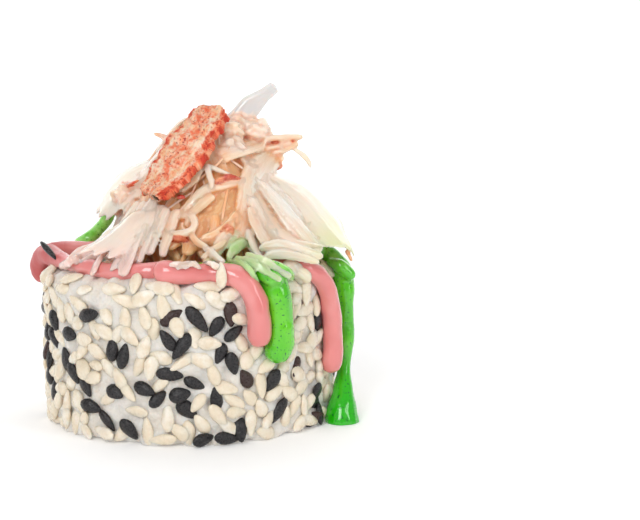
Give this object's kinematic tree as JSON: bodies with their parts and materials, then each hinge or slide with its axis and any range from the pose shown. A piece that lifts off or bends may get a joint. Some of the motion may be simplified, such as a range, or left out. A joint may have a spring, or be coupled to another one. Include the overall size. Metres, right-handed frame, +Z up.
{
  "type": "uramaki roll",
  "caption": "Slice of inside-out sushi roll standing on its cut face: rice with sesame round nori and fillings, topped with a heap of shredded crab and two drizzled sauces.",
  "frame": {"origin": "on the roll's axis, on the flat cut face that the slice stands on", "axes": "+Z up along the roll's axis, -Y towards the side seen in the picture, +X to the right there"},
  "size_m": [0.0461, 0.0439, 0.047],
  "materials": {
    "rice": "moist, slightly see-through grains",
    "white_sesame": "satin",
    "black_sesame": "satin",
    "nori": "dull, wrinkled",
    "cream_cheese": "smooth, moist",
    "avocado": "smooth, moist",
    "crab_filling": "fibrous, moist",
    "crab_shreds": "fibrous, slightly see-through",
    "crab_flake": "fibrous, flecked",
    "pink_sauce": "glossy",
    "green_sauce": "glossy, specked"
  },
  "bodies": {
    "root": {"rice": "rice", "nori": "nori", "cream_cheese": "cream_cheese", "avocado_1": "avocado", "avocado_2": "avocado", "crab_filling": "crab_filling", "pink_sauce_long": "pink_sauce", "pink_sauce_side": "pink_sauce", "pink_sauce_back": "pink_sauce", "green_sauce_front": "green_sauce", "green_sauce_stream": "green_sauce", "green_sauce_back": "green_sauce", "crab_heap": "crab_shreds", "crab_flake": "crab_flake"}
  },
  "joints": []
}
